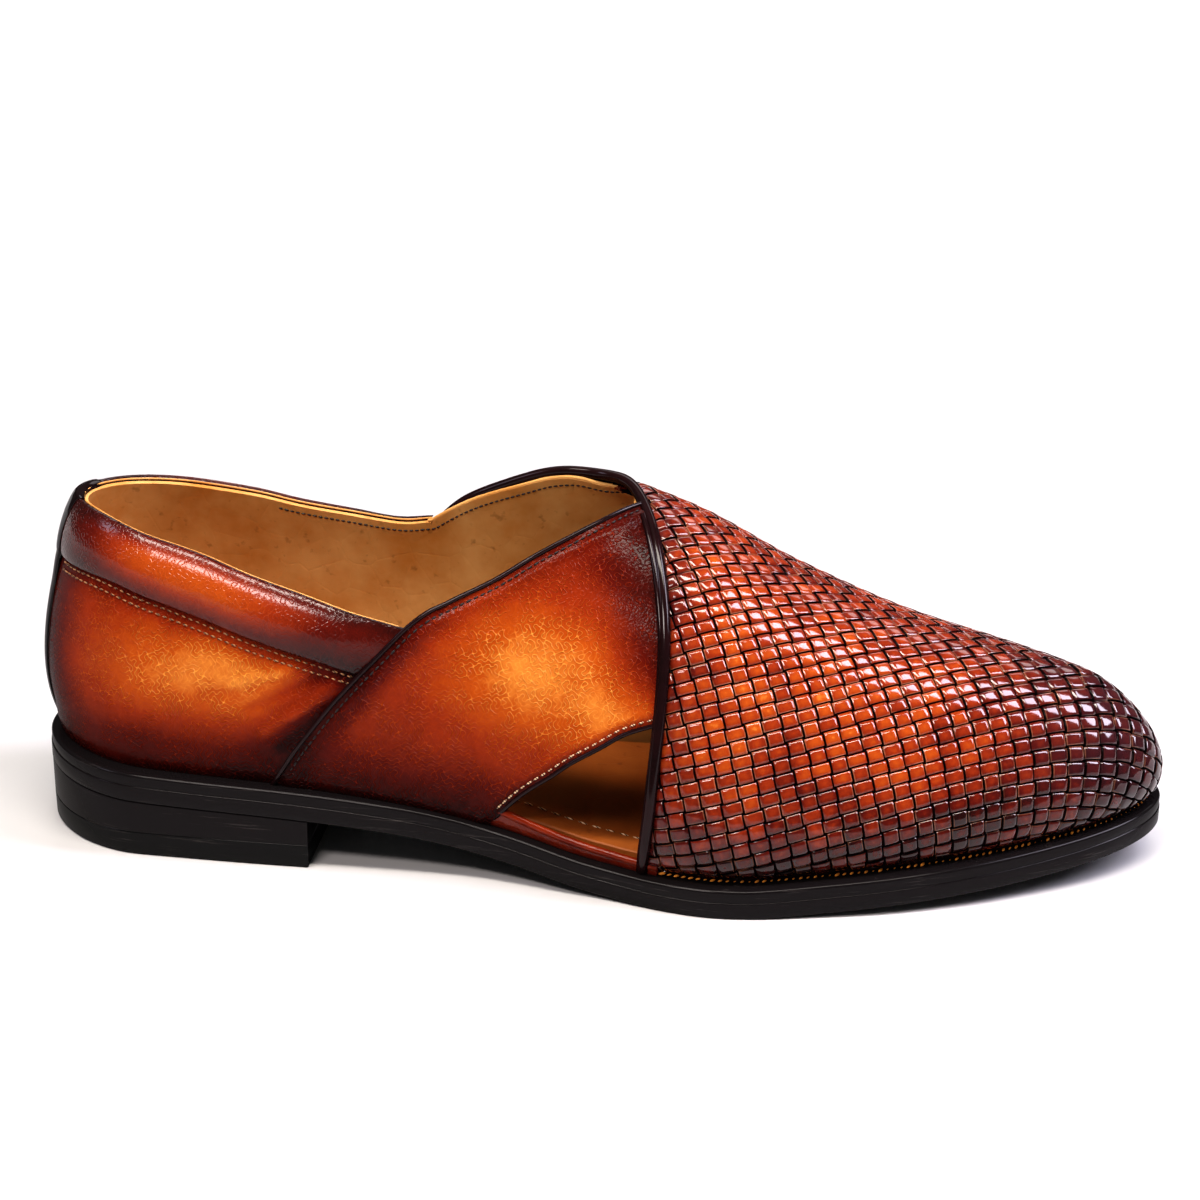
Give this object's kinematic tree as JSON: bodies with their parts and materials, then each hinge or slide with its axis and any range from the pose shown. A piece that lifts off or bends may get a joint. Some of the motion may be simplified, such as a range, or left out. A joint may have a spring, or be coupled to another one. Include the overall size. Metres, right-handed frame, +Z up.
{
  "type": "closed leather peshawari shoe",
  "caption": "Right crossover leather shoe with a woven vamp, a plain side strap, an open side cut-out, a padded collar and a low heel.",
  "frame": {"origin": "on the ground under the middle of the shoe's bounding box", "axes": "+X heel to toe, +Y to the medial (inner) side of the foot, +Z up"},
  "size_m": [0.3019, 0.1031, 0.0983],
  "materials": {
    "upper": "burnished tan calf, glossy, darker at its edges",
    "collar": "polished red-brown calf over a soft pad",
    "backstay": "polished near-black calf",
    "vamp_piping": "glossy dark aubergine-brown piping",
    "insole": "brown sock leather, satin",
    "welt": "satin black edge dressing",
    "outsole": "satin black edge dressing",
    "heel_lift": "satin black stacked leather",
    "heel_top_piece": "satin black rubber"
  },
  "bodies": {
    "root": {"upper": "upper", "collar": "collar", "backstay": "backstay", "vamp_piping": "vamp_piping", "insole": "insole", "welt": "welt", "outsole": "outsole", "heel_lift": "heel_lift", "heel_top_piece": "heel_top_piece"}
  },
  "joints": []
}
